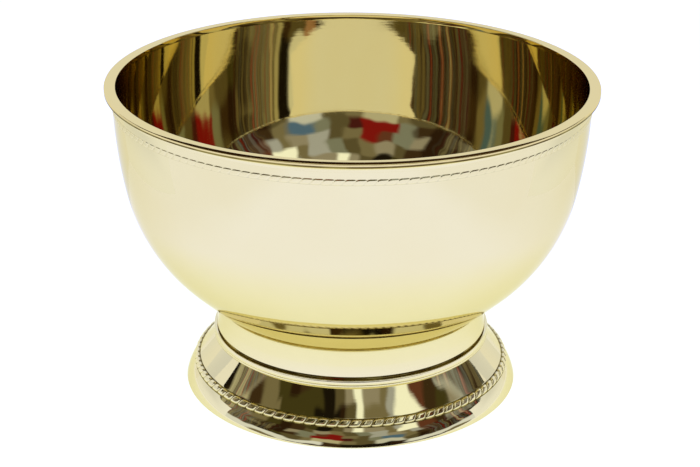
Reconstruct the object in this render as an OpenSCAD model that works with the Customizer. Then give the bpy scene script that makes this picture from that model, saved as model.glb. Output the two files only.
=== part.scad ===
// Table-top baptismal font: a spun brass bowl with a flat rim and a rope moulding, standing on a
// collar, a bead and a spun foot. A stud under the bowl pulls the foot up against it.
// Millimetres, +Z up. The origin is the middle of the face that the foot stands on.

/* [Bowl] */
// Radius of the bowl's wall, just under the rim
bowl_r = 126; // [124:0.5:128]
// Thickness of the bowl's metal at the rim
bowl_wall = 1.4; // [1:0.1:2]
// Height where the straight wall starts to curve in
curve_z = 165.75; // [164:0.25:167]
// Radius of the bowl's upper side, below the straight wall
side_arc_r = 257.3; // [245:0.1:270]
// Angle that the upper side turns through
side_turn = 11.6; // [10:0.1:13]
// Radius of the bowl's shoulder, where it turns in
shoulder_arc_r = 93.7; // [88:0.1:98]
// Angle that the shoulder turns through
shoulder_turn = 34; // [32:0.1:36]
// Radius of the bowl's long lower slope
slope_arc_r = 282.7; // [270:0.1:300]
// Angle that the lower slope turns through
slope_turn = 4.5; // [3:0.1:6]
// Radius of the bowl's floor
floor_arc_r = 102; // [96:0.5:106]

/* [Bowl, inner face] */
// Radius of the upper side, below the straight wall
in_side_arc_r = 215; // [210:0.1:225]
// Angle that the upper side turns through
in_side_turn = 13; // [12.6:0.1:13.4]
// Radius of the shoulder, where the face turns in
in_shoulder_arc_r = 100.3; // [98:0.1:102]
// Angle that the shoulder turns through
in_shoulder_turn = 32.6; // [32:0.1:33]
// Radius of the long lower slope
in_slope_arc_r = 279; // [270:0.1:290]
// Angle that the lower slope turns through
in_slope_turn = 4.5; // [4:0.1:5]
// Radius of the floor
in_floor_arc_r = 98.2; // [97:0.1:99]

/* [Rim] */
// Overall height of the font
total_h = 170.4; // [169:0.1:172]
// Outer radius of the rim, the widest part
rim_r = 130; // [129:0.1:132]
// Height of the rim's upright edge
rim_edge_h = 2; // [1.6:0.1:2.4]
// Radius of the cove under the rim
rim_cove_r = 3.4; // [3:0.1:3.6]
// Rounding of the rim's outer edge
rim_edge_round = 0.4; // [0.2:0.1:0.7]
// Rounding of the rim's inner edge
rim_lip_round = 0.4; // [0.2:0.1:0.8]
// How far the rim's top falls from its inner edge to its outer edge
rim_fall = 0.15; // [0:0.05:0.3]
// Thickness of the rim's skirt inside the bowl
skirt_t = 0.6; // [0.4:0.1:1]
// Depth of the rim's skirt below the top
skirt_h = 3; // [2.6:0.1:5]
// Depth of the rim metal above the bowl's edge
rim_seat_h = 1.8; // [1.6:0.1:2.2]

/* [Rope mouldings] */
// Height of the bowl's rope above the base, at its middle
bowl_rope_z = 159.9; // [158:0.1:161]
// Width of the bowl's rope
bowl_rope_w = 3.3; // [2.6:0.1:3.8]
// How far the bowl's rope stands out
bowl_rope_out = 1.1; // [0.8:0.1:1.5]
// How far the foot's rope stands out of its seat
foot_rope_out = 1.3; // [0.9:0.1:1.6]

/* [Neck] */
// Radius of the collar under the bowl
neck_r = 73.6; // [72.5:0.1:74.5]
// Radius of the collar's lower lip
neck_lip_r = 74.2; // [73.8:0.1:74.6]
// Height of the collar's lower edge
neck_z = 32.3; // [32:0.1:32.6]
// Height of the collar's flare, above its lower edge
neck_flare_h = 6; // [4:0.5:8]
// Thickness of the collar
neck_wall = 1.4; // [1.2:0.1:1.8]
// How far the collar's top curves out to meet the bowl
neck_fillet = 1.6; // [1:0.1:2.4]
// Height of the groove between the collar and the bead
groove_h = 1.5; // [0.8:0.1:1.8]
// Largest radius of the bead
bead_r = 76; // [75.6:0.1:76.6]
// Height of the bead's lower face
bead_z = 27; // [26.6:0.1:27.4]
// Height of the thin lip along the bead's lower edge
bead_lip_h = 1.1; // [0.8:0.1:1.4]

/* [Foot] */
// Radius at the foot's lower edge
foot_r = 91.5; // [90:0.1:93]
// Thickness of the foot's sheet
foot_wall = 1.3; // [1:0.1:1.6]
// Radius of the foot where it meets the bead, which overhangs it
foot_top_r = 73.1; // [72.6:0.1:73.6]
// Radius at the foot of the flare
flare_low_r = 83.8; // [83:0.1:84.6]
// Height at the foot of the flare
flare_low_z = 13.4; // [12.8:0.1:14]
// How far the flare is hollowed below a straight line
flare_hollow = 0.2; // [0.1:0.05:0.4]
// Radius at the top of the base moulding
base_top_r = 87.4; // [86.8:0.1:87.8]
// Height of the top of the base moulding
base_top_z = 8.5; // [8:0.1:9]
// How far the base moulding bulges out of a straight line
base_bulge = 0.5; // [0.2:0.1:1]
// Height of the stiffening ring inside the lower edge
edge_ring_h = 3; // [2:0.2:4]
// Width of the stiffening ring
edge_ring_w = 2; // [1.5:0.1:3]
// Distance from the stiffening ring to the face the foot stands on
edge_ring_lift = 0.3; // [0.2:0.1:0.6]

/* [Clamp] */
// Radius of the boss under the bowl
boss_r = 12; // [9:0.5:12]
// Depth of the boss
boss_h = 8; // [7:0.5:9]
// Radius of the stud
stud_r = 3; // [2.5:0.5:3]
// Height of the stud's lower end
stud_low_z = 1.8; // [1.4:0.1:2.4]
// How far the stud screws into the boss
stud_grip = 6; // [5:0.5:6]
// Inner radius of the ledge ring
ledge_in_r = 66; // [60:1:70]
// Height of the ledge ring's lower face
ledge_z = 13; // [12.8:0.1:13.6]
// Thickness of the ledge ring
ledge_t = 1.5; // [1:0.1:1.8]
// Radius of the clamp plate
plate_r = 74; // [72:0.5:75]
// Thickness of the clamp plate
plate_t = 2; // [1.5:0.1:2.2]
// Outer radius of the plain washer
washer_r = 9; // [6:0.5:10]
// Thickness of each washer
washer_t = 1.6; // [1.2:0.1:1.6]
// Width of the nut across its flats
nut_flats = 10; // [9:1:10]
// Height of the nut
nut_h = 5; // [4:0.5:5]

/* [Hidden] */

$fn = 128;
eps = 0.05;          // play between soldered pieces, so that they touch without cutting in
thread_play = 0.02;  // radial play between the stud and what it screws into
brass = "#e6d9a8";
brass_inside = "#d9c58a";
steel = "#c4c7ca";

// Points of a circular arc about [cx, cz], from angle a0 to angle a1.
function arc(c, r, a0, a1, n) =
    [for (i = [0:n]) let (a = a0 + (a1 - a0) * i / n) [c[0] + r * cos(a), c[1] + r * sin(a)]];

// Points from p to q on an arc that stands out by s, to the left of the straight line.
// A negative s stands out to the right.
function bow(p, q, s, n) =
    let (
        d = q - p,
        len = norm(d),
        side = sign(s) * [-d[1], d[0]] / len,
        deep = abs(s),
        r = (len * len / 4 + deep * deep) / (2 * deep)
    )
    [for (i = [0:n])
        let (
            t = i / n,
            x = len * (t - 0.5),
            rise = sqrt(r * r - x * x) - (r - deep)
        )
        p + d * t + side * rise];

// Each face of the bowl is four arcs, from the rim down. Each next arc is tangent to the one before it.
// The metal is thin at the rim and thickens towards the floor.
function ends_of(turns) = [turns[0], turns[0] + turns[1], turns[0] + turns[1] + turns[2], 90];
function step(c, from_r, to_r, a) = c + (from_r - to_r) * [cos(a), -sin(a)];
function centres_of(r, radii, ends) =
    let (
        side = [r - radii[0], curve_z],
        shoulder = step(side, radii[0], radii[1], ends[0]),
        slope = step(shoulder, radii[1], radii[2], ends[1])
    )
    [side, shoulder, slope, step(slope, radii[2], radii[3], ends[2])];
function bowl_face(c, radii, ends) = concat(
    arc(c[0], radii[0], 0, -ends[0], 12),
    arc(c[1], radii[1], -ends[0], -ends[1], 24),
    arc(c[2], radii[2], -ends[1], -ends[2], 6),
    arc(c[3], radii[3], -ends[2], -ends[3], 24)
);

bowl_in_r = bowl_r - bowl_wall;
out_radii = [side_arc_r, shoulder_arc_r, slope_arc_r, floor_arc_r];
out_ends = ends_of([side_turn, shoulder_turn, slope_turn]);
out_c = centres_of(bowl_r, out_radii, out_ends);
floor_z = out_c[3][1] - floor_arc_r;
in_radii = [in_side_arc_r, in_shoulder_arc_r, in_slope_arc_r, in_floor_arc_r];
in_ends = ends_of([in_side_turn, in_shoulder_turn, in_slope_turn]);
in_c = centres_of(bowl_in_r, in_radii, in_ends);
in_floor_z = in_c[3][1] - in_floor_arc_r;

function reversed(points) = [for (i = [len(points) - 1:-1:0]) points[i]];

// Radius of the bowl's outer face at height z, near the rim.
function side_r_at(z) = out_c[0][0] + sqrt(pow(side_arc_r, 2) - pow(z - out_c[0][1], 2));

// Height of the bowl's outer face at radius r, near the neck.
function floor_z_at(r) = out_c[3][1] - sqrt(pow(floor_arc_r, 2) - pow(r - out_c[3][0], 2));

rim_seat_z = total_h - rim_seat_h;
boss_z = floor_z - boss_h;
plate_z = ledge_z - plate_t;
washer_z = plate_z - washer_t;
spring_z = washer_z - washer_t;
nut_z = spring_z - nut_h;

module turned(points) {
    rotate_extrude() polygon(points);
}

module ring(r_out, r_in, z, h) {
    translate([0, 0, z])
        difference() {
            cylinder(r = r_out, h = h);
            translate([0, 0, -1]) cylinder(r = r_in, h = h + 2);
        }
}

module bowl() {
    outer = concat([[bowl_r, rim_seat_z]], bowl_face(out_c, out_radii, out_ends), [[0, floor_z]]);
    inner = concat([[bowl_in_r, rim_seat_z]], bowl_face(in_c, in_radii, in_ends), [[0, in_floor_z]]);
    color(brass) turned(concat(outer, reversed(inner)));
}

// The rim straddles the bowl's edge: skirt inside, top that falls slightly outwards, cove outside.
module rim_ring() {
    lip_r = bowl_in_r - skirt_t;
    lip_c = [lip_r + rim_lip_round, total_h - rim_lip_round];
    edge_c = [rim_r - rim_edge_round, total_h - rim_fall - rim_edge_round];
    cove_c = [bowl_r + 0.3 + rim_cove_r, total_h - rim_edge_h - rim_cove_r];
    color(brass) turned(concat(
        [[bowl_r, rim_seat_z], [bowl_in_r, rim_seat_z]],
        [[bowl_in_r, total_h - skirt_h], [lip_r, total_h - skirt_h]],
        arc(lip_c, rim_lip_round, 180, 90, 8),
        arc(edge_c, rim_edge_round, 85, 0, 6),
        [[rim_r, total_h - rim_edge_h]],
        arc(cove_c, rim_cove_r, 90, 180, 12),
        [[bowl_r, cove_c[1]]]
    ));
}

module bowl_rope_band() {
    high = bowl_rope_z + bowl_rope_w / 2;
    low = bowl_rope_z - bowl_rope_w / 2;
    color(brass) turned(bow([side_r_at(high), high], [side_r_at(low), low], bowl_rope_out, 12));
}

// The collar's top curves out to meet the bowl, and its lower lip flares a little.
module neck_collar() {
    flare_z = neck_z + neck_flare_h;
    lip_in = neck_lip_r - neck_wall;
    in_r = neck_r - neck_wall;
    joint_r = neck_r + neck_fillet;
    joint_z = floor_z_at(joint_r);
    color(brass) turned(concat(
        bow([joint_r, joint_z], [neck_r, joint_z - 2 * neck_fillet], -0.3, 10),
        bow([neck_r, flare_z], [neck_lip_r, neck_z], -0.06, 10),
        [[lip_in, neck_z], [in_r, flare_z], [in_r, floor_z_at(in_r)]],
        [[neck_r, floor_z_at(neck_r)]]
    ));
}

// The bead's seat for the collar stands above its shoulder, which leaves the dark groove.
module neck_bead() {
    seat_r = neck_lip_r - 0.9;
    in_r = neck_r - neck_wall;
    shoulder_z = neck_z - groove_h;
    lip_top = bead_z + bead_lip_h;
    color(brass) turned(concat(
        [[in_r, bead_z], [in_r, neck_z], [seat_r, neck_z], [seat_r, shoulder_z]],
        arc([bead_r - 0.8, shoulder_z - 0.4], 0.4, 90, 20, 6),
        bow([bead_r - 0.4, shoulder_z - 0.5], [bead_r - 0.15, lip_top + 0.2], 0.1, 8),
        [[bead_r - 0.35, lip_top + 0.1]],
        bow([bead_r - 0.1, lip_top], [bead_r - 0.1, bead_z], 0.1, 8)
    ));
}

// One face of the foot, from the bead down to the base, the thickness t inside the outer face.
flare_top = [foot_top_r, bead_z];
flare_low = [flare_low_r, flare_low_z];
base_top = [base_top_r, base_top_z];
function foot_face(t) = concat(
    bow(flare_top - [1.25, 0] * t, flare_low - [0.82, 0.57] * t, -flare_hollow, 16),
    bow(base_top - [0.85, 0.53] * t, [foot_r - t, 0], base_bulge, 12)
);

module foot_shell() {
    color(brass) turned(concat(foot_face(0), reversed(foot_face(foot_wall))));
}

module foot_rope_band() {
    seat = (base_top - flare_low) / norm(base_top - flare_low);
    upper = 0.2;
    lower = 1;
    color(brass) turned(bow(flare_low + seat * upper, base_top - seat * lower, foot_rope_out, 12));
}

module foot_edge_ring() {
    wall_low = foot_r - foot_wall - 0.25;
    wall_high = wall_low - 0.3 * edge_ring_h;
    in_r = wall_high - edge_ring_w;
    low = edge_ring_lift;
    high = edge_ring_lift + edge_ring_h;
    color(brass_inside) turned([[in_r, low], [wall_low, low], [wall_high, high], [in_r, high]]);
}

// Flat ring soldered inside the flare. Its outer edge is bevelled to fit the sheet.
module foot_ledge_ring() {
    slope = (flare_low_r - foot_top_r) / (bead_z - flare_low_z);
    wall_r = flare_low_r - foot_wall - flare_hollow / 2 - slope * (ledge_z - flare_low_z) - 0.5;
    color(brass_inside) turned([
        [ledge_in_r, ledge_z],
        [wall_r, ledge_z],
        [wall_r - slope * ledge_t, ledge_z + ledge_t],
        [ledge_in_r, ledge_z + ledge_t]
    ]);
}

module bowl_boss() {
    color(brass_inside)
        difference() {
            translate([0, 0, boss_z]) cylinder(r = boss_r, h = boss_h);
            translate([0, 0, boss_z - 1]) cylinder(r = stud_r + thread_play, h = stud_grip + 1);
        }
}

module clamp_stud() {
    color(steel)
        translate([0, 0, stud_low_z]) cylinder(r = stud_r, h = boss_z + stud_grip - stud_low_z);
}

module clamp_plate() {
    color(steel) ring(plate_r, stud_r + 0.3, plate_z, plate_t);
}

module plain_washer() {
    color(steel) ring(washer_r, stud_r + 0.2, washer_z, washer_t);
}

// Split ring, shown pressed flat.
module spring_washer() {
    gap = 1.2;
    out_r = stud_r + 2.2;
    color(steel)
        difference() {
            ring(out_r, stud_r + 0.1, spring_z, washer_t);
            rotate([0, 0, 20])
                translate([0, -gap / 2, spring_z - 1]) cube([out_r + 1, gap, washer_t + 2]);
        }
}

module clamp_nut() {
    color(steel)
        translate([0, 0, nut_z])
            difference() {
                cylinder(r = nut_flats / 2 / cos(30), h = nut_h, $fn = 6);
                translate([0, 0, -1]) cylinder(r = stud_r + thread_play, h = nut_h + 2);
            }
}

bowl();
rim_ring();
bowl_rope_band();
neck_collar();
neck_bead();
foot_shell();
foot_rope_band();
foot_edge_ring();
foot_ledge_ring();
bowl_boss();
clamp_stud();
clamp_plate();
plain_washer();
spring_washer();
clamp_nut();
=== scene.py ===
import math

import bmesh
import bpy
from mathutils import Matrix, Vector


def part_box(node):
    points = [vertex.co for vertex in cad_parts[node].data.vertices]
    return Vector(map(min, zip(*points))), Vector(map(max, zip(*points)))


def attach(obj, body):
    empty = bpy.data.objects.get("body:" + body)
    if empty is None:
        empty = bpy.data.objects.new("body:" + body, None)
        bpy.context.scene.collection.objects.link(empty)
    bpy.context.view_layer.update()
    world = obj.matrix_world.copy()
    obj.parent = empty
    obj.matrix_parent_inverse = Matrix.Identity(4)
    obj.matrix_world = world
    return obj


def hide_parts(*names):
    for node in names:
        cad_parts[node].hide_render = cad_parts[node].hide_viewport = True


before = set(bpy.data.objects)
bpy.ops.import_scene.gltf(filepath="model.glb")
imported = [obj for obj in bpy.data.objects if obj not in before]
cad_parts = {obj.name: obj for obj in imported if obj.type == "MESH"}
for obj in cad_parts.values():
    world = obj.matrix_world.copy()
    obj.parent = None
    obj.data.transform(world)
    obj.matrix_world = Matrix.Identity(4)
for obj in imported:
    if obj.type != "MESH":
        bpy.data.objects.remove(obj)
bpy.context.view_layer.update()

MM = 0.001
TURN = 2 * math.pi
AROUND = 512                        # facets round each turned shell
STEPS_PER_DEGREE = 1.8              # of the arcs in the bowl's outline
LONGEST_CUT = 0.45                  # share of an edge that one rounded corner may take up
SQUARE = 4                          # how square a rope's beads are: 2 would make them round

# ---------------------------------------------------------------- sizes, in mm, from the frame


def span(node):
    """A node's outer radius, lowest height and highest height."""
    low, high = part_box(node)
    return max(high[0], high[1]) / MM, low[2] / MM, high[2] / MM


RIM_R, _, TOTAL_H = span("rim_ring")
BOWL_R, FLOOR_Z, RIM_SEAT = span("bowl")
_, BOWL_ROPE_LOW, BOWL_ROPE_HIGH = span("bowl_rope_band")
_, NECK_LOW, _ = span("neck_collar")
BEAD_R, BEAD_LOW, BEAD_HIGH = span("neck_bead")
FOOT_R, _, _ = span("foot_shell")

# The solids' facets may cut just inside the true circles, so the radii are rounded back
RIM_R = round(RIM_R + 0.05, 1)
BOWL_R = round(BOWL_R, 1)
FOOT_R = round(FOOT_R, 2)

# Bowl: its two faces are the arcs that the solid is turned from, from the rim down to the middle. Each
# has a radius and the angle in degrees that it turns through. The last turns until it is level.
WALL = 1.4
CURVE_Z = 165.75                    # height where the first arcs start, upright
OUTER_ARCS = ((257.3, 11.6), (93.7, 34.0), (282.7, 4.5), (102.0, None))
INNER_ARCS = ((215.0, 13.0), (100.3, 32.6), (279.0, 4.5), (98.2, None))

# Rim
RIM_EDGE_H = 2.0
RIM_FALL = 0.15                     # how far the top falls from its inner edge to its outer edge
LIP_ROUND = 0.4
EDGE_ROUND = 0.4
EDGE_TOP_ANGLE = 85                 # where the outer edge's rounding meets the sloping top, in degrees
CORNER_ROUND = 0.15                 # each corner that isn't rounded otherwise
SKIRT_WALL = 0.6                    # skirt inside the bowl's top edge
SKIRT_H = 3
LIP_R = BOWL_R - WALL - SKIRT_WALL
COVE_R = 3.4                        # hollow below the rim
COVE_FOOT = 0.3                     # how thick the ring still is at the cove's foot

# Collar
NECK_R = 73.6
NECK_LIP_R = 74.2
NECK_FLARE_H = 6.0
NECK_FLARE_HOLLOW = 0.06
NECK_FILLET = 1.6
NECK_FILLET_HOLLOW = 0.3

# Bead, with a dark groove above its shoulder and a thin lip below its face
BEAD_LIP_H = 1.1
GROOVE_H = 1.5
GROOVE_DEPTH = 0.9
SHOULDER_ROUND = 0.4
BEAD_BULGE = 0.1

# Foot
FOOT_TOP_R = 73.1
FOOT_WALL = 1.3
FLARE_LOW = Vector((83.8, 13.4))
FLARE_HOLLOW = 0.2
BASE_TOP = Vector((87.4, 8.5))
BASE_BULGE = 0.5

# ---------------------------------------------------------------- outlines


def arc(centre, radius, start, end, steps):
    """Points of a circular arc in the (radius, height) plane."""
    return [Vector((centre[0] + radius * math.cos(start + (end - start) * i / steps),
                    centre[1] + radius * math.sin(start + (end - start) * i / steps)))
            for i in range(steps + 1)]


def bow(start, end, rise, steps):
    """Points of an arc that stands out by rise, to the left of the line from start to end."""
    line = end - start
    side = Vector((-line.y, line.x)).normalized() * (1 if rise > 0 else -1)
    deep = abs(rise)
    radius = (line.length ** 2 / 4 + deep ** 2) / (2 * deep)
    points = []
    for i in range(steps + 1):
        t = i / steps
        off = math.sqrt(radius ** 2 - (line.length * (t - 0.5)) ** 2) - (radius - deep)
        points.append(start + line * t + side * off)
    return points


def soften(points, radius, steps=3, sharpest=14):
    """Rounds each corner of a closed outline that turns more than sharpest degrees."""
    count = len(points)
    result = []
    for i, p in enumerate(points):
        back = points[i - 1] - p
        ahead = points[(i + 1) % count] - p
        turn = math.pi - back.angle(ahead)
        if turn < math.radians(sharpest):
            result.append(p)
            continue
        cut = min(radius, back.length * LONGEST_CUT, ahead.length * LONGEST_CUT)
        a = p + back.normalized() * cut
        b = p + ahead.normalized() * cut
        for k in range(steps + 1):
            t = k / steps
            result.append(a * (1 - t) ** 2 + p * 2 * t * (1 - t) + b * t ** 2)
    return result


def bowl_face(start_r, arcs):
    """One face of the bowl, from the rim down to the middle. Each arc is tangent to the next."""
    centre = Vector((start_r - arcs[0][0], CURVE_Z))
    angle = 0.0
    points = []
    last = None
    for radius, turn in arcs:
        if last is not None:
            centre = centre + (last - radius) * Vector((math.cos(angle), -math.sin(angle)))
        end = math.pi / 2 if turn is None else angle + math.radians(turn)
        steps = max(12, round(math.degrees(end - angle) * STEPS_PER_DEGREE))
        new = arc(centre, radius, -angle, -end, steps)
        points += new if last is None else new[1:]
        angle = end
        last = radius
    return points


def floor_height(radius):
    """Height of the bowl's outer face at a radius near the neck."""
    face = bowl_face(BOWL_R, OUTER_ARCS)
    for a, b in zip(face, face[1:]):
        if a.x >= radius >= b.x:
            return a.y + (b.y - a.y) * (a.x - radius) / (a.x - b.x)
    return FLOOR_Z


# ---------------------------------------------------------------- meshes


def turned(name, outline):
    """A solid of revolution from a closed outline in mm. A point on the axis becomes one vertex."""
    verts, faces, rows = [], [], []
    for r, z in outline:
        if r < 1e-6:
            rows.append([len(verts)] * AROUND)
            verts.append((0, 0, z * MM))
        else:
            rows.append(list(range(len(verts), len(verts) + AROUND)))
            for i in range(AROUND):
                a = TURN * i / AROUND
                verts.append((r * math.cos(a) * MM, r * math.sin(a) * MM, z * MM))
    for low, high in zip(rows, rows[1:] + rows[:1]):
        for i in range(AROUND):
            j = (i + 1) % AROUND
            corners = [low[i], low[j], high[j], high[i]]
            face = [v for k, v in enumerate(corners) if v != corners[k - 1]]
            if len(face) > 2:
                faces.append(face)
    return made(name, verts, faces)


def made(name, verts, faces, smooth_below=40):
    """A smooth-shaded mesh object, with hard edges where the faces turn sharply."""
    mesh = bpy.data.meshes.new(name)
    mesh.from_pydata(verts, [], faces)
    mesh.validate()
    mesh.update()
    obj = bpy.data.objects.new(name, mesh)
    bpy.context.scene.collection.objects.link(obj)
    bm = bmesh.new()
    bm.from_mesh(mesh)
    bmesh.ops.recalc_face_normals(bm, faces=bm.faces)
    for face in bm.faces:
        face.smooth = True
    for edge in bm.edges:
        if len(edge.link_faces) == 2 and edge.calc_face_angle(0) > math.radians(smooth_below):
            edge.smooth = False
    bm.to_mesh(mesh)
    bm.free()
    return obj


def rope(name, start, end, bulge, count, slant, groove, tall, gap_shade, steps=18, per_bead=22):
    """A rope moulding: slanted rounded beads between two circles of the outline, start and end.

    The seat between the circles is a cone. Each of the beads stands out of it by up to bulge mm,
    takes up the share of its width that tall says, and leans by slant of a bead across it. A core of
    groove times the bulge shows between them. The argument after tall paints shade into these hollows."""
    line = end - start
    out = Vector((-line.y, line.x)).normalized()
    around = count * per_bead
    verts, faces, deep = [], [], []     # deep: how much painted shade each point holds, most in the gaps between beads
    for k in range(steps + 1):
        v = k / steps
        across = 2 * v - 1
        for i in range(around):
            along = (i / per_bead + slant * (v - 0.5)) % 1.0
            edge = abs(2 * along - 1)
            shape = max(0.0, 1 - edge ** SQUARE - abs(across / tall) ** SQUARE) ** 0.5
            core = max(0.0, 1 - across ** 2)
            high = bulge * max(shape, groove * core)
            p = start + line * v + out * high
            a = TURN * i / around
            verts.append((p.x * math.cos(a) * MM, p.x * math.sin(a) * MM, p.y * MM))
            deep.append(gap_shade * min(1.0, max(0.0, 1.3 - 2.4 * shape)))
    for k in range(steps + 1):
        low = k * around
        high = ((k + 1) % (steps + 1)) * around
        for i in range(around):
            j = (i + 1) % around
            faces.append((low + i, low + j, high + j, high + i))
    piece = made(name, verts, faces, smooth_below=60)
    # Painted shade for the gaps between the beads, kept on the mesh for the material
    shade_in_gaps = piece.data.attributes.new("shade_in_gaps", "FLOAT", "POINT")
    shade_in_gaps.data.foreach_set("value", deep)
    return piece


# ---------------------------------------------------------------- node helpers


def math_node(tree, operation, *values):
    """A Math node. Each value is a number or another node's output."""
    node = tree.nodes.new("ShaderNodeMath")
    node.operation = operation
    for socket, value in zip(node.inputs, values):
        if isinstance(value, (int, float)):
            socket.default_value = value
        else:
            tree.links.new(value, socket)
    return node.outputs[0]


def mixed(tree, factor, low, high):
    """A mix of two colours, which are linear colours or other nodes' outputs."""
    node = tree.nodes.new("ShaderNodeMix")
    node.data_type = "RGBA"
    tree.links.new(factor, node.inputs["Factor"])
    for socket, value in ((node.inputs[6], low), (node.inputs[7], high)):
        if isinstance(value, tuple):
            socket.default_value = (*value, 1)
        else:
            tree.links.new(value, socket)
    return node.outputs[2]


def ranged(tree, value, start, end, low=0.0, high=1.0, smooth=True):
    """Maps start to end onto low to high, and holds the value there beyond them."""
    node = tree.nodes.new("ShaderNodeMapRange")
    if smooth:
        node.interpolation_type = "SMOOTHSTEP"
    tree.links.new(value, node.inputs["Value"])
    node.inputs["From Min"].default_value = start
    node.inputs["From Max"].default_value = end
    node.inputs["To Min"].default_value = low
    node.inputs["To Max"].default_value = high
    return node.outputs["Result"]


def noise(tree, vector, scale, detail=2.0):
    """Noise from 0 to 1, with so many lumps to a metre, or to a unit of direction."""
    node = tree.nodes.new("ShaderNodeTexNoise")
    tree.links.new(vector, node.inputs["Vector"])
    node.inputs["Scale"].default_value = scale
    node.inputs["Detail"].default_value = detail
    return node.outputs["Fac"]


# ---------------------------------------------------------------- materials

GOLD = (0.82, 0.735, 0.42)          # light that the pale gold plate gives back
GOLD_WARM = (0.81, 0.71, 0.38)
GRAZING = (0.87, 0.83, 0.62)        # its tint where it is seen at a slant
RUBBED = (0.82, 0.66, 0.28)         # the warmer metal where the plate is worn, on the rim
# Tarnish, and painted shade under the rim's edge and between the rope's beads
TARNISH_AND_SHADE = (0.26, 0.205, 0.05)
TARNISH_AND_SHADE_DARK = (0.10, 0.065, 0.015)
SPUN = (0.74, 0.60, 0.30)
SPUN_WARM = (0.66, 0.50, 0.24)
ZINC = (0.70, 0.71, 0.72)
ZINC_DULL = (0.58, 0.59, 0.61)

# Noise scales, in lumps to a metre
LATHE_LINES = 650
FINE_LINES = 2600
WAVES = 28
SMUDGES = 25
SPECKS = 900
# Patches of the tarnish and painted shade
TARNISH_AND_SHADE_PATCHES = 60

# Shares of the effects
FINE_ROUGH = 0.5                    # roughness of the fine lines, as a share of the clean metal's
FINE_HIGH = 0.3                     # height of the fine lines, as a share of the lathe's lines'
SPECK_ROUGH = 0.05
# Extra roughness where the tarnish and painted shade lie
TARNISH_AND_SHADE_ROUGH = 0.3
RIM_WEAR = 0.85


def turned_metal(name, tones, gloss, line_depth, wave_depth, tarnish_and_shade=None, wear=None):
    """Metal turned on a lathe.

    tones is its colour and the warmer tone that it drifts to, and gloss its roughness where it is
    clean and where it is smudged. Lines run round it, line_depth metres deep, and the sheet waves
    by wave_depth. The last two arguments give masks of where tarnish and painted shade lie and where
    the plate is rubbed, from the radius and the height."""
    material = bpy.data.materials.new(name)
    material.use_nodes = True
    tree = material.node_tree
    shader = tree.nodes["Principled BSDF"]
    shader.inputs["Metallic"].default_value = 1
    shader.inputs["Specular Tint"].default_value = (*GRAZING, 1)
    place = tree.nodes.new("ShaderNodeTexCoord").outputs["Object"]
    parts = tree.nodes.new("ShaderNodeSeparateXYZ")
    tree.links.new(place, parts.inputs[0])
    x, y, z = parts.outputs
    radius = math_node(tree, "SQRT", math_node(tree, "ADD", math_node(tree, "MULTIPLY", x, x),
                                               math_node(tree, "MULTIPLY", y, y)))
    across = tree.nodes.new("ShaderNodeCombineXYZ")
    tree.links.new(radius, across.inputs[0])
    tree.links.new(z, across.inputs[1])
    across = across.outputs[0]

    smudge = ranged(tree, noise(tree, place, SMUDGES, 4.0), 0.42, 0.68)
    specks = ranged(tree, noise(tree, place, SPECKS, 2.0), 0.62, 0.78)
    lines = noise(tree, across, LATHE_LINES)
    fine = noise(tree, across, FINE_LINES)
    colour = mixed(tree, noise(tree, place, WAVES), *tones)
    rough = ranged(tree, smudge, 0, 1, *gloss, smooth=False)
    rough = math_node(tree, "ADD", rough, math_node(tree, "MULTIPLY", fine, gloss[0] * FINE_ROUGH))
    rough = math_node(tree, "ADD", rough, math_node(tree, "MULTIPLY", specks, SPECK_ROUGH))
    if wear is not None:
        colour = mixed(tree, wear(tree, radius, z), colour, RUBBED)
    if tarnish_and_shade is not None:
        # Tarnish, and painted shade under the rim's edge and between a rope's beads, darken the metal
        # here
        mask = tarnish_and_shade(tree, radius, z)
        patchy = ranged(tree, noise(tree, place, TARNISH_AND_SHADE_PATCHES, 3.0), 0.40, 0.62)
        colour = mixed(tree, mask, colour, mixed(tree, patchy, TARNISH_AND_SHADE, TARNISH_AND_SHADE_DARK))
        rough = math_node(tree, "ADD", rough, math_node(tree, "MULTIPLY", mask, TARNISH_AND_SHADE_ROUGH))
    tree.links.new(colour, shader.inputs["Base Color"])
    tree.links.new(rough, shader.inputs["Roughness"])

    bump = tree.nodes.new("ShaderNodeBump")
    both = math_node(tree, "ADD", lines, math_node(tree, "MULTIPLY", fine, FINE_HIGH))
    tree.links.new(both, bump.inputs["Height"])
    bump.inputs["Strength"].default_value = 1
    bump.inputs["Distance"].default_value = line_depth
    if wave_depth > 0:
        wave = tree.nodes.new("ShaderNodeBump")
        tree.links.new(noise(tree, place, WAVES, 1.0), wave.inputs["Height"])
        wave.inputs["Strength"].default_value = 1
        wave.inputs["Distance"].default_value = wave_depth
        tree.links.new(wave.outputs[0], bump.inputs["Normal"])
    tree.links.new(bump.outputs[0], shader.inputs["Normal"])
    return material


def band(tree, z, low, full_from, full_to, high):
    """A mask that is 1 between two heights in mm and fades to 0 beyond them."""
    return math_node(tree, "MULTIPLY", ranged(tree, z, low * MM, full_from * MM),
                     ranged(tree, z, full_to * MM, high * MM, 1, 0))


def joint_tarnish_and_rim_shade(tree, radius, z):
    """Tarnish in the groove between the collar and the bead, and painted shade, partly tarnish, in a
    line under the rim's edge.
    """
    groove_low = BEAD_HIGH - GROOVE_H
    groove = band(tree, z, groove_low, groove_low + 0.2, BEAD_HIGH - 0.1, BEAD_HIGH + 0.1)
    # A line of painted shade, partly tarnish, under the rim's edge
    under_low = TOTAL_H - RIM_EDGE_H - 0.4
    under = band(tree, z, under_low, under_low + 0.3, under_low + 1.0, under_low + 1.5)
    under = math_node(tree, "MULTIPLY", under,
                      ranged(tree, radius, (RIM_R - 2.2) * MM, (RIM_R - 1.2) * MM))
    return math_node(tree, "MAXIMUM", groove, under)


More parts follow.
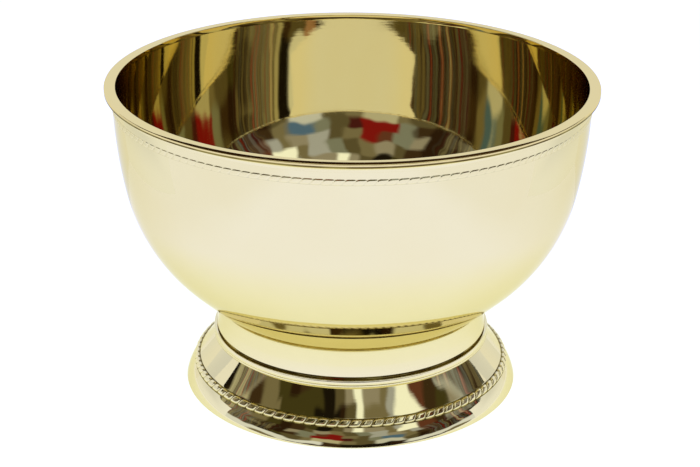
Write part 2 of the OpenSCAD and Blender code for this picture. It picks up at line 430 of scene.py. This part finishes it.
def rubbed_rim(tree, radius, z):
    """Wear on the rim's top and edge, where hands hold it."""
    high = ranged(tree, z, (TOTAL_H - RIM_EDGE_H) * MM, (TOTAL_H - 1.2) * MM)
    wide = ranged(tree, radius, (LIP_R - 0.5) * MM, LIP_R * MM)
    return math_node(tree, "MULTIPLY", math_node(tree, "MULTIPLY", high, wide), RIM_WEAR)


def rope_gap_shade(tree, radius, z):
    """Painted shade between the beads of a rope. The mesh says how dark each point is painted."""
    shade_in_gaps = tree.nodes.new("ShaderNodeAttribute")
    shade_in_gaps.attribute_name = "shade_in_gaps"
    return shade_in_gaps.outputs["Fac"]


# The polished brass gets tarnish in the bead's groove and painted shade, partly tarnish, under the rim's
# edge; the rope brass gets painted shade between its beads
polished = turned_metal("polished_brass", (GOLD, GOLD_WARM), gloss=(0.018, 0.045), line_depth=4e-6,
                        wave_depth=9e-5, tarnish_and_shade=joint_tarnish_and_rim_shade, wear=rubbed_rim)
rope_metal = turned_metal("rope_brass", (GOLD, GOLD_WARM), gloss=(0.05, 0.12), line_depth=6e-6,
                          wave_depth=0, tarnish_and_shade=rope_gap_shade)
inner_metal = turned_metal("inner_brass", (SPUN, SPUN_WARM), gloss=(0.22, 0.36), line_depth=2e-5,
                           wave_depth=9e-5)
steel = turned_metal("plated_steel", (ZINC, ZINC_DULL), gloss=(0.26, 0.42), line_depth=1.2e-5,
                     wave_depth=0)


def finish_piece(piece, material, slot, *nodes):
    """Gives a piece its material, hangs it under the root body and hides the solids of the nodes that it
    stands for. The slot is not used.
    """
    piece.data.materials.append(material)
    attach(piece, "root")
    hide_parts(*nodes)


# ---------------------------------------------------------------- the turned shells

# Bowl
outer = [Vector((BOWL_R, RIM_SEAT))] + bowl_face(BOWL_R, OUTER_ARCS)
inner = [Vector((BOWL_R - WALL, RIM_SEAT))] + bowl_face(BOWL_R - WALL, INNER_ARCS)
outer.append(Vector((0, outer[-1].y)))
inner.append(Vector((0, inner[-1].y)))
bowl = turned("spun_bowl", outer + inner[::-1])
finish_piece(bowl, polished, "polished_brass", "bowl")

# Rim
cove_c = (BOWL_R + COVE_FOOT + COVE_R, TOTAL_H - RIM_EDGE_H - COVE_R)
outline = [Vector((BOWL_R, RIM_SEAT)), Vector((BOWL_R - WALL, RIM_SEAT)),
           Vector((BOWL_R - WALL, TOTAL_H - SKIRT_H)), Vector((LIP_R, TOTAL_H - SKIRT_H))]
lip_c = (LIP_R + LIP_ROUND, TOTAL_H - LIP_ROUND)
edge_c = (RIM_R - EDGE_ROUND, TOTAL_H - RIM_FALL - EDGE_ROUND)
outline += arc(lip_c, LIP_ROUND, math.pi, math.pi / 2, 8)
outline += arc(edge_c, EDGE_ROUND, math.radians(EDGE_TOP_ANGLE), 0, 6)
outline += [Vector((RIM_R, TOTAL_H - RIM_EDGE_H))]
outline += arc(cove_c, COVE_R, math.pi / 2, math.pi, 16)
outline += [Vector((BOWL_R, cove_c[1]))]
rim = turned("turned_rim", soften(outline, CORNER_ROUND))
finish_piece(rim, polished, "polished_brass", "rim_ring")

# Collar
in_r = NECK_R - WALL
flare_z = NECK_LOW + NECK_FLARE_H
joint = Vector((NECK_R + NECK_FILLET, floor_height(NECK_R + NECK_FILLET)))
outline = bow(joint, Vector((NECK_R, joint.y - 2 * NECK_FILLET)), -NECK_FILLET_HOLLOW, 12)
outline += bow(Vector((NECK_R, flare_z)), Vector((NECK_LIP_R, NECK_LOW)), -NECK_FLARE_HOLLOW, 12)
outline += [Vector((NECK_LIP_R - WALL, NECK_LOW)), Vector((in_r, flare_z)),
            Vector((in_r, floor_height(in_r))), Vector((NECK_R, floor_height(NECK_R)))]
collar = turned("turned_collar", outline)
finish_piece(collar, polished, "polished_brass", "neck_collar")

# Bead: groove, rounded shoulder, face, a fine nick and the lip
lip_top = BEAD_LOW + BEAD_LIP_H
lip_r = BEAD_R - BEAD_BULGE
seat_r = NECK_LIP_R - GROOVE_DEPTH
shoulder_z = BEAD_HIGH - GROOVE_H
shoulder_c = (BEAD_R - 2 * SHOULDER_ROUND, shoulder_z - SHOULDER_ROUND)
outline = [Vector((in_r, BEAD_LOW)), Vector((in_r, BEAD_HIGH)), Vector((seat_r, BEAD_HIGH)),
           Vector((seat_r, shoulder_z))]
outline += arc(shoulder_c, SHOULDER_ROUND, math.radians(90), math.radians(20), 8)
outline += bow(Vector((BEAD_R - SHOULDER_ROUND, shoulder_z - SHOULDER_ROUND - 0.1)),
               Vector((BEAD_R - 0.15, lip_top + 0.2)), BEAD_BULGE, 10)
outline += [Vector((BEAD_R - 0.35, lip_top + 0.1))]
outline += bow(Vector((lip_r, lip_top)), Vector((lip_r, BEAD_LOW)), BEAD_BULGE, 8)
bead = turned("turned_bead", outline)
finish_piece(bead, polished, "polished_brass", "neck_bead")


# Foot
def foot_face(inset):
    """The foot's outer face, or its inner face with the wall as the inset: the flare, then the base.

    Each corner moves in by its own share of the inset, in radius and height, to keep the wall even."""
    top = Vector((FOOT_TOP_R, BEAD_LOW)) - Vector((1.25, 0)) * inset
    low = FLARE_LOW - Vector((0.82, 0.57)) * inset
    base = BASE_TOP - Vector((0.85, 0.53)) * inset
    bottom = Vector((FOOT_R, 0)) - Vector((1, 0)) * inset
    return bow(top, low, -FLARE_HOLLOW, 40) + bow(base, bottom, BASE_BULGE, 24)


foot = turned("spun_foot", foot_face(0) + foot_face(FOOT_WALL)[::-1])
finish_piece(foot, polished, "polished_brass", "foot_shell")

# ---------------------------------------------------------------- the rope mouldings


def side_radius(z):
    """Radius of the bowl's outer face at a height near the rim."""
    radius = OUTER_ARCS[0][0]
    return BOWL_R - radius + math.sqrt(radius ** 2 - (z - CURVE_Z) ** 2)


# Both ropes get painted shade in the gaps between their beads, lightly on the bowl's and fully on the
# foot's
bowl_rope = rope("bowl_rope", Vector((side_radius(BOWL_ROPE_HIGH), BOWL_ROPE_HIGH)),
                 Vector((side_radius(BOWL_ROPE_LOW), BOWL_ROPE_LOW)),
                 bulge=0.32, count=157, slant=0.5, groove=0.3, tall=0.85, gap_shade=0.15)
finish_piece(bowl_rope, rope_metal, "rope_brass", "bowl_rope_band")

# The foot's rope lies in its step, nearer to the flare than to the base
seat = (BASE_TOP - FLARE_LOW).normalized()
foot_rope = rope("foot_rope", FLARE_LOW + seat * 0.2, BASE_TOP - seat * 1.0,
                 bulge=1.25, count=92, slant=0.5, groove=0.12, tall=0.8, gap_shade=1.0)
finish_piece(foot_rope, rope_metal, "rope_brass", "foot_rope_band")

# ---------------------------------------------------------------- hidden pieces keep their solids

LOOKS = {"foot_edge_ring": inner_metal, "foot_ledge_ring": inner_metal, "bowl_boss": inner_metal,
         "clamp_stud": steel, "clamp_plate": steel, "plain_washer": steel, "spring_washer": steel,
         "clamp_nut": steel}
for node, look in LOOKS.items():
    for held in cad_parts[node].material_slots:
        held.material = look

# ---------------------------------------------------------------- floor and studio light


def linear(colour):
    """Colour as a person names it, 0 to 1, to the light values that the nodes use."""
    return tuple(c / 12.92 if c <= 0.04045 else ((c + 0.055) / 1.055) ** 2.4 for c in colour)


def card(name, corners, middle, edge, fade):
    """A glowing studio card that only reflections see. The camera, and the floor's light, don't.

    Its colour goes from middle to edge. fade gives the mask from the place on the card."""
    mesh = bpy.data.meshes.new(name)
    mesh.from_pydata(corners, [], [tuple(range(len(corners)))])
    obj = bpy.data.objects.new(name, mesh)
    bpy.context.scene.collection.objects.link(obj)
    material = bpy.data.materials.new(name)
    material.use_nodes = True
    tree = material.node_tree
    shader = tree.nodes["Principled BSDF"]
    shader.inputs["Base Color"].default_value = (0, 0, 0, 1)
    shader.inputs["Roughness"].default_value = 1
    shader.inputs["Specular IOR Level"].default_value = 0
    shader.inputs["Emission Strength"].default_value = 1
    place = tree.nodes.new("ShaderNodeTexCoord").outputs["Object"]
    parts = tree.nodes.new("ShaderNodeSeparateXYZ")
    tree.links.new(place, parts.inputs[0])
    colour = mixed(tree, fade(tree, *parts.outputs), linear(middle), linear(edge))
    tree.links.new(colour, shader.inputs["Emission Color"])
    obj.data.materials.append(material)
    obj.visible_camera = False
    obj.visible_diffuse = False
    obj.visible_shadow = False


FLOOR_HALF = 6.0                    # half its width, in metres
FLOOR_BASE = (0.30, 0.30, 0.34)
FLOOR_GLOW = 1.4
FLOOR_NEAR = (0.66, 0.70, 0.71)     # tone of the glow round the foot, warm from the metal above
FLOOR_FAR = (0.66, 0.70, 0.98)
FLOOR_SIDE = (0.63, 0.66, 0.86)
NEAR_TO_FAR = (0.10, 0.24)          # distances from the axis where the tones change, in metres
FAR_TO_SIDE = (0.19, 0.32)          # distances to either side
mesh = bpy.data.meshes.new("floor")
mesh.from_pydata([(-FLOOR_HALF, -FLOOR_HALF, 0), (FLOOR_HALF, -FLOOR_HALF, 0),
                  (FLOOR_HALF, FLOOR_HALF, 0), (-FLOOR_HALF, FLOOR_HALF, 0)], [], [(0, 1, 2, 3)])
floor = bpy.data.objects.new("floor", mesh)
bpy.context.scene.collection.objects.link(floor)
white = bpy.data.materials.new("floor_white")
white.use_nodes = True
shader = white.node_tree.nodes["Principled BSDF"]
shader.inputs["Base Color"].default_value = (*FLOOR_BASE, 1)
shader.inputs["Roughness"].default_value = 0.9
shader.inputs["Specular IOR Level"].default_value = 0
shader.inputs["Emission Strength"].default_value = FLOOR_GLOW
tree = white.node_tree
place = tree.nodes.new("ShaderNodeTexCoord").outputs["Object"]
parts = tree.nodes.new("ShaderNodeSeparateXYZ")
tree.links.new(place, parts.inputs[0])
far = tree.nodes.new("ShaderNodeVectorMath")
far.operation = "LENGTH"
tree.links.new(place, far.inputs[0])
glow = mixed(tree, ranged(tree, far.outputs["Value"], *NEAR_TO_FAR), FLOOR_NEAR, FLOOR_FAR)
aside = ranged(tree, math_node(tree, "ABSOLUTE", parts.outputs[0]), *FAR_TO_SIDE)
tree.links.new(mixed(tree, aside, glow, FLOOR_SIDE), shader.inputs["Emission Color"])
floor.data.materials.append(white)

# Tones of what stands round the studio
PAPER = (0.91, 0.94, 1.04)
WINDOW = (1.04, 1.07, 1.10)
SILVER = (0.80, 0.82, 0.86)
MIST = (0.68, 0.70, 0.76)
SLATE = (0.44, 0.46, 0.48)
STONE = (0.60, 0.58, 0.55)
STRAW = (0.74, 0.73, 0.66)
SAND = (0.67, 0.53, 0.48)
KHAKI = (0.49, 0.46, 0.37)
DRAB = (0.37, 0.34, 0.25)
OLIVE = (0.27, 0.25, 0.13)
BARK = (0.25, 0.19, 0.12)
UMBER = (0.18, 0.12, 0.07)
PITCH = (0.11, 0.09, 0.06)
BRICK = (0.40, 0.24, 0.18)
MAROON = (0.29, 0.12, 0.11)
RED = (0.52, 0.10, 0.09)
BLUE = (0.33, 0.45, 0.62)
PANEL = (0.51, 0.53, 0.51)

# What stands round the studio, by height above the horizon in degrees. Each stretch is given by the
# bearing where it starts, in degrees from the camera's side, with the right-hand side positive.
ROOM = {
    1: [(-180, PAPER), (-70, KHAKI), (-44, BARK), (-6, PITCH), (30, UMBER), (64, KHAKI), (84, PAPER)],
    5: [(-180, PAPER), (-20, BARK), (-6, PITCH), (26, UMBER), (36, PAPER)],
    14: [(-180, PAPER), (-118, PITCH), (-104, STRAW), (-86, STONE), (-76, DRAB), (-66, PITCH),
         (-56, OLIVE), (-45, DRAB), (-34, KHAKI), (-25, STRAW), (-7, KHAKI), (5, DRAB), (15, SILVER),
         (36, DRAB), (46, UMBER), (55, BARK), (65, UMBER), (80, PITCH), (100, BARK), (110, DRAB),
         (127, PAPER)],
    21: [(-180, PAPER), (-116, PITCH), (-104, STRAW), (-90, STONE), (-76, STRAW), (-66, KHAKI),
         (-56, UMBER), (-45, BARK), (-36, PANEL), (-27, RED), (-6, MAROON), (3, DRAB), (13, PANEL),
         (22, BLUE), (36, KHAKI), (46, BARK), (55, MAROON), (65, OLIVE), (78, PITCH), (100, BARK),
         (110, DRAB), (127, PAPER)],
    28: [(-180, UMBER), (-165, BARK), (-140, SAND), (-128, DRAB), (-112, BARK), (-104, STRAW),
         (-92, STONE), (-76, KHAKI), (-66, OLIVE), (-56, UMBER), (-46, STONE), (-36, PANEL),
         (-24, BRICK), (-16, RED), (-6, KHAKI), (5, DRAB), (13, MIST), (26, STONE), (38, KHAKI),
         (44, MIST), (54, BRICK), (65, BARK), (74, SILVER), (104, KHAKI), (118, DRAB), (150, UMBER),
         (172, BARK)],
    36: [(-180, UMBER), (-150, BARK), (-125, KHAKI), (-100, STRAW), (-89, BARK), (-78, KHAKI),
         (-66, OLIVE), (-54, UMBER), (-44, BARK), (-34, DRAB), (-26, STONE), (-15, KHAKI), (-5, DRAB),
         (4, PANEL), (15, MIST), (27, KHAKI), (35, WINDOW), (54, BRICK), (66, BARK), (76, OLIVE),
         (84, STONE), (120, KHAKI), (137, DRAB), (160, UMBER)],
    45: [(-180, BARK), (-140, DRAB), (-100, KHAKI), (-62, OLIVE), (-26, PITCH), (-14, DRAB),
         (-4, STONE), (3, WINDOW), (12, STONE), (26, KHAKI), (33, MIST), (41, WINDOW), (72, SAND),
         (80, BRICK), (95, KHAKI), (130, DRAB), (160, BARK)],
    54: [(-180, BARK), (-100, DRAB), (-42, OLIVE), (-34, PITCH), (-8, UMBER), (-3, DRAB), (4, WINDOW),
         (13, KHAKI), (44, STONE), (52, WINDOW), (85, KHAKI), (130, DRAB), (160, BARK)],
}

# Narrow stripes, as of folded cloth or a row of books, lie over part of both sides. Each tone comes with
# the noise value that it lies at.
STRIPES = ((0.30, PITCH), (0.37, STRAW), (0.40, MAROON), (0.43, PITCH), (0.46, KHAKI), (0.49, UMBER),
           (0.52, SLATE), (0.55, PITCH), (0.58, RED), (0.62, STRAW), (0.68, OLIVE))
STRIPE_SCALE = 48
STRIPE_LEAN = 0.00004               # how far the stripes turn with the height
STRIPE_SHARE = 0.75
STRIPES_FROM = 8                    # heights where they begin and end, in degrees
STRIPES_TO = 33
SKY_FROM = 62                       # above this height the softbox overhead begins
SKY_FADE = 6
SKY_GLOW = 1.3
EDGE = 1.2                          # softness of an edge between stretches, in degrees
UNEVEN = 2.8                        # how far the stretches' edges wander, in degrees

world = bpy.data.worlds.new("studio")
bpy.context.scene.world = world
world.use_nodes = True
tree = world.node_tree
background = tree.nodes["Background"]


def ramp(bearing, stops):
    """A colour ramp over bearings from -180 to 180. A ramp takes at most 32 stops."""
    node = tree.nodes.new("ShaderNodeValToRGB")
    tree.links.new(bearing, node.inputs["Fac"])
    elements = node.color_ramp.elements
    while len(elements) < len(stops):
        elements.new(1)
    for element, (angle, colour) in zip(elements, stops):
        element.position = 0.5 + angle / 360
    for element, (angle, colour) in zip(elements, stops):
        element.color = (*linear(colour), 1)
    return node.outputs["Color"]


def strip(bearing, stretches):
    """The colours round the horizon at one height. Each runs from its bearing to the next."""
    halves = ([], [])
    for i, (start, colour) in enumerate(stretches):
        end = stretches[i + 1][0] if i + 1 < len(stretches) else 180
        for half, low, high in ((halves[0], -180, 0), (halves[1], 0, 180)):
            if start < high and end > low:
                half.append((max(start, low) + (EDGE if start > low else 0), colour))
                half.append((min(end, high) - (EDGE if end < high else 0), colour))
    right = math_node(tree, "GREATER_THAN", bearing, 0.5)
    return mixed(tree, right, ramp(bearing, halves[0]), ramp(bearing, halves[1]))


def wander(scale, degrees):
    """A smooth number, up to about the degrees either way, that changes from place to place."""
    drift = math_node(tree, "SUBTRACT", noise(tree, direction, scale, 1.0), 0.5)
    return math_node(tree, "MULTIPLY", drift, degrees * 4)


direction = tree.nodes.new("ShaderNodeTexCoord").outputs["Generated"]
parts = tree.nodes.new("ShaderNodeSeparateXYZ")
tree.links.new(direction, parts.inputs[0])
x, y, z = parts.outputs
# The bearing is 0 behind on the left, 0.5 at the camera and 1 behind on the right
bearing = math_node(tree, "ARCTAN2", x, math_node(tree, "MULTIPLY", y, -1))
bearing = math_node(tree, "DIVIDE", bearing, TURN)
bearing = math_node(tree, "ADD", bearing, 0.5)
bearing = math_node(tree, "ADD", bearing, math_node(tree, "DIVIDE", wander(5.0, UNEVEN), 360))
height = math_node(tree, "MULTIPLY", math_node(tree, "ARCSINE", z), 180 / math.pi)
height = math_node(tree, "ADD", height, wander(3.7, UNEVEN))

# The stripes are noise along the bearing, and turn slightly with the height
along = tree.nodes.new("ShaderNodeCombineXYZ")
tree.links.new(bearing, along.inputs[0])
tree.links.new(math_node(tree, "MULTIPLY", height, STRIPE_LEAN), along.inputs[1])
grain = tree.nodes.new("ShaderNodeValToRGB")
tree.links.new(noise(tree, along.outputs[0], STRIPE_SCALE, 2.5), grain.inputs["Fac"])
elements = grain.color_ramp.elements
while len(elements) < len(STRIPES):
    elements.new(1)
for element, (position, tone) in zip(elements, STRIPES):
    element.position = position
for element, (position, tone) in zip(elements, STRIPES):
    element.color = (*linear(tone), 1)
degrees = math_node(tree, "MULTIPLY", math_node(tree, "SUBTRACT", bearing, 0.5), 360)
left = math_node(tree, "MULTIPLY", ranged(tree, degrees, -103, -101),
                 ranged(tree, degrees, -60, -50, 1, 0))
right = math_node(tree, "MULTIPLY", ranged(tree, degrees, 50, 62),
                  ranged(tree, degrees, 126, 128, 1, 0))
striped = math_node(tree, "ADD", left, right)
begun = ranged(tree, height, STRIPES_FROM, STRIPES_FROM + 3, 0, STRIPE_SHARE)
striped = math_node(tree, "MULTIPLY", striped, begun)
going = ranged(tree, height, STRIPES_TO - 4, STRIPES_TO, 1, 0)
striped = math_node(tree, "MULTIPLY", striped, going)

levels = sorted(ROOM)
colour = strip(bearing, ROOM[levels[0]])
for low, high in zip(levels, levels[1:]):
    middle = (low + high) / 2
    step = ranged(tree, height, middle - EDGE, middle + EDGE)
    colour = mixed(tree, step, colour, strip(bearing, ROOM[high]))
colour = mixed(tree, striped, colour, grain.outputs["Color"])
sky = ranged(tree, height, SKY_FROM, SKY_FROM + SKY_FADE)
colour = mixed(tree, sky, colour, (SKY_GLOW,) * 3)
tree.links.new(colour, background.inputs["Color"])

# Low pale cards stand close on both sides, and a taller white board behind. Places are in metres.
SIDE_X = 0.34
SIDE_FRONT = -0.06
SIDE_BACK = 0.30
SIDE_H = 0.105
BACK_LEFT = -0.9
BACK_RIGHT = 0.55
BACK_Y = 0.20
BACK_H = 0.32
SIDE_TONE = (0.90, 0.92, 1.01)
FLOOR_TONE = (1.0, 1.02, 1.12)      # as bright as the floor, so that the cards' edges don't show
BACK_TONE = (0.97, 1.0, 1.15)
BACK_EDGE = (0.99, 1.0, 1.07)


def side_fade(tree, x, y, z):
    """Fades into the floor's tone towards the card's foot and its front end."""
    low = ranged(tree, z, 0.015, SIDE_H, 1, 0)
    front = ranged(tree, y, SIDE_FRONT, SIDE_FRONT + 0.16, 1, 0)
    return math_node(tree, "MAXIMUM", low, front)


def back_fade(tree, x, y, z):
    """Less blue towards the card's ends."""
    return ranged(tree, math_node(tree, "ABSOLUTE", x), 0.12, 0.34)


for side_x, name in ((SIDE_X, "card_right"), (-SIDE_X, "card_left")):
    card(name, [(side_x, SIDE_BACK, 0), (side_x, SIDE_FRONT, 0),
                (side_x, SIDE_FRONT, SIDE_H), (side_x, SIDE_BACK, SIDE_H)],
         SIDE_TONE, FLOOR_TONE, side_fade)
card("card_back", [(BACK_LEFT, BACK_Y, 0), (BACK_RIGHT, BACK_Y, 0),
                   (BACK_RIGHT, BACK_Y, BACK_H), (BACK_LEFT, BACK_Y, BACK_H)],
     BACK_TONE, BACK_EDGE, back_fade)

# ---------------------------------------------------------------- camera

LENS = 90.9                         # mm
SENSOR = 36                         # mm
SHIFT_X = -0.0021                   # share of the sensor's width
CAMERA_PLACE = (0, -0.8897, 0.4534)     # metres
LOOKS_DOWN = 22.66                  # degrees below the horizon
ROLL = 0.38                         # degrees

camera_data = bpy.data.cameras.new("camera")
camera_data.lens = LENS
camera_data.sensor_width = SENSOR
camera_data.shift_x = SHIFT_X
camera = bpy.data.objects.new("camera", camera_data)
bpy.context.scene.collection.objects.link(camera)
pitch = math.radians(90 - LOOKS_DOWN)
camera.matrix_world = (Matrix.Translation(CAMERA_PLACE) @ Matrix.Rotation(pitch, 4, "X")
                       @ Matrix.Rotation(math.radians(ROLL), 4, "Z"))
bpy.context.scene.camera = camera
bpy.context.scene.view_settings.view_transform = "Standard"
# Light runs many times round the inside of the bowl before it leaves
bpy.context.scene.cycles.max_bounces = 24
bpy.context.scene.cycles.glossy_bounces = 20
